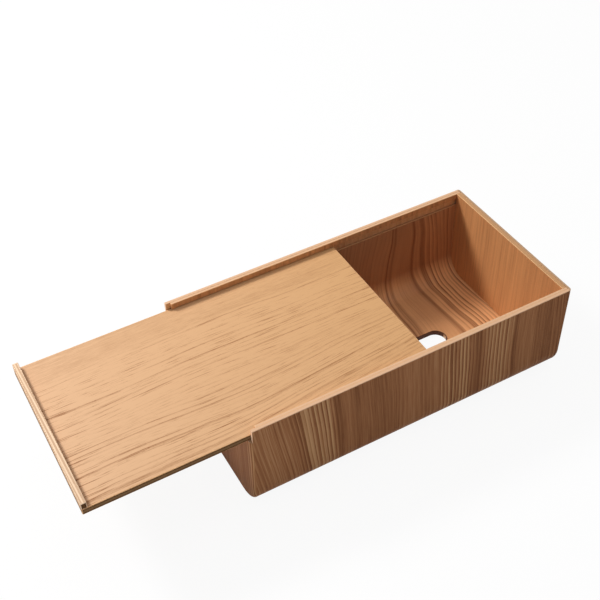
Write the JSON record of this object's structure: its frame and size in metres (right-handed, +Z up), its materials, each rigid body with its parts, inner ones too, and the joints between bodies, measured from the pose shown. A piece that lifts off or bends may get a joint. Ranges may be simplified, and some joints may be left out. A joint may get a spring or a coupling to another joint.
{
  "type": "tissue box with sliding base",
  "caption": "Bent-plywood tissue box lying on its slotted top, with a flat base panel and finger lip that slide out of grooves under its rim.",
  "frame": {"origin": "centre of the tissue slot, on the outer face of the box's top, which the box lies on", "axes": "+X along the box to its closed end, opposite the way the base panel slides out; +Y across the box; +Z up, out of the open base"},
  "size_m": [0.365, 0.1354, 0.081],
  "materials": {
    "walnut_ply": "satin walnut face on bent plywood, pale raw edges",
    "lining_ply": "open-grained ash, clear satin finish",
    "rail_wood": "planed pale wood, clear satin finish",
    "end_board_ply": "plain pale-brown plywood, clear satin finish",
    "walnut_sheet": "satin walnut sheet, grain upright",
    "panel_ply": "straight-grained pale ash plywood, clear satin finish, dark sawn edges",
    "lip_ply": "pale plywood strip with its layers showing"
  },
  "bodies": {
    "box": {"outer_shell": "walnut_ply", "shell_lining": "lining_ply", "rail_front": "rail_wood", "rail_back": "rail_wood", "closed_end_board": "end_board_ply", "closed_end_facing": "walnut_sheet", "open_end_board": "end_board_ply", "open_end_facing": "walnut_sheet"},
    "base": {"base_panel": "panel_ply", "base_lip": "lip_ply"}
  },
  "joints": [
    {"name": "base_slide", "type": "slide", "parent": "box", "child": "base", "axis": [-1, 0, 0], "range_m": [-0.11, 0.112]}
  ]
}
